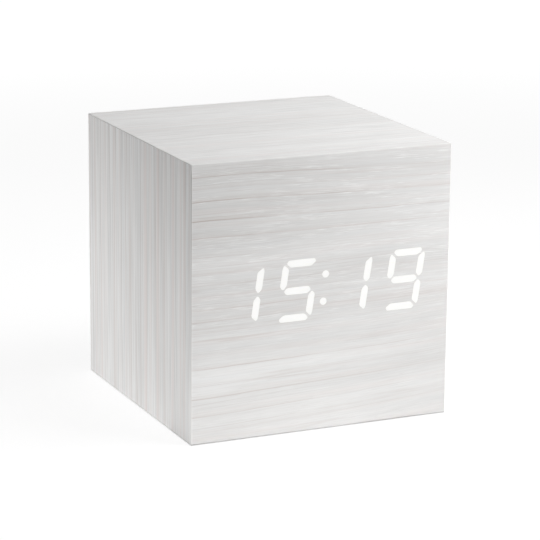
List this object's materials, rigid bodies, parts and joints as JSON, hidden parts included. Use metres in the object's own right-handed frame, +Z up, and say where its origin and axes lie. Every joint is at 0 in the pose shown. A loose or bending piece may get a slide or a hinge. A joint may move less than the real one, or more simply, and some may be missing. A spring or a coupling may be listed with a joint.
{
  "type": "led cube alarm clock",
  "caption": "Cube-shaped veneered table clock with the time glowing through its front, rear push buttons and a hinged battery hatch.",
  "frame": {"origin": "middle of the base, on the surface that the clock stands on", "axes": "+Z up, the front with the time towards -Y, +X to the right of someone who reads the time"},
  "size_m": [0.065, 0.065, 0.065],
  "materials": {
    "veneer": "matt grey-white woodgrain veneer",
    "fibreboard": "raw",
    "pine": "sawn",
    "lit_lens": "glowing white",
    "white_plastic": "satin",
    "black_plastic": "fine texture",
    "rubber": "matt",
    "circuit_board": "green solder mask",
    "chip_resin": "moulded",
    "steel": "zinc plated",
    "black_steel": "blackened",
    "nickel": "nickel plated",
    "capacitor_sleeve": "shrink sleeve",
    "cell_wrapper": "printed wrapper",
    "grey_ribbon": "satin",
    "red_wire": "satin",
    "black_wire": "satin"
  },
  "bodies": {
    "case": {"front_veneer": "veneer", "top_veneer": "veneer", "bottom_veneer": "veneer", "left_veneer": "veneer", "right_veneer": "veneer", "rear_edge_band": "veneer", "front_board": "fibreboard", "top_board": "fibreboard", "bottom_board": "fibreboard", "left_board": "fibreboard", "right_board": "fibreboard", "upper_left_corner_block": "pine", "upper_right_corner_block": "pine", "lower_left_corner_block": "pine", "lower_right_corner_block": "pine", "first_digit_lens": "lit_lens", "second_digit_lens": "lit_lens", "third_digit_lens": "lit_lens", "fourth_digit_lens": "lit_lens", "colon_lens": "lit_lens", "display_reflector": "white_plastic", "display_board": "circuit_board", "display_board_screw_1": "steel", "display_board_screw_2": "steel", "clock_chip": "chip_resin", "capacitor": "capacitor_sleeve", "buzzer": "black_plastic", "ribbon_cable": "grey_ribbon", "control_board": "circuit_board", "control_board_screw_1": "steel", "control_board_screw_2": "steel", "mode_switch": "black_plastic", "up_switch": "black_plastic", "down_switch": "black_plastic", "microphone": "steel", "microphone_sleeve": "rubber", "dc_socket": "black_plastic", "dc_socket_pin": "nickel", "rear_cover": "black_plastic", "rear_cover_screw_1": "black_steel", "rear_cover_screw_2": "black_steel", "rear_cover_screw_3": "black_steel", "rear_cover_screw_4": "black_steel", "upper_battery": "cell_wrapper", "middle_battery": "cell_wrapper", "lower_battery": "cell_wrapper", "positive_contact": "nickel", "negative_contact": "nickel", "upper_bridge_contact": "nickel", "lower_bridge_contact": "nickel", "red_battery_lead": "red_wire", "black_battery_lead": "black_wire"},
    "mode_key": {"mode_button": "black_plastic", "mode_plunger": "white_plastic"},
    "up_key": {"up_button": "black_plastic", "up_plunger": "white_plastic"},
    "down_key": {"down_button": "black_plastic", "down_plunger": "white_plastic"},
    "hatch": {"battery_hatch": "black_plastic"}
  },
  "joints": [
    {"name": "mode_press", "type": "slide", "parent": "case", "child": "mode_key", "axis": [0, -1, 0], "range_m": [0, 0.0006], "stiffness_N_per_m": 800, "springref_m": -0.0005},
    {"name": "up_press", "type": "slide", "parent": "case", "child": "up_key", "axis": [0, -1, 0], "range_m": [0, 0.0006], "stiffness_N_per_m": 800, "springref_m": -0.0005},
    {"name": "down_press", "type": "slide", "parent": "case", "child": "down_key", "axis": [0, -1, 0], "range_m": [0, 0.0006], "stiffness_N_per_m": 800, "springref_m": -0.0005},
    {"name": "hatch_swing", "type": "hinge", "parent": "case", "child": "hatch", "pos_m": [0, 0.0308, 0.0459], "axis": [1, 0, 0], "range_deg": [0, 75]}
  ]
}
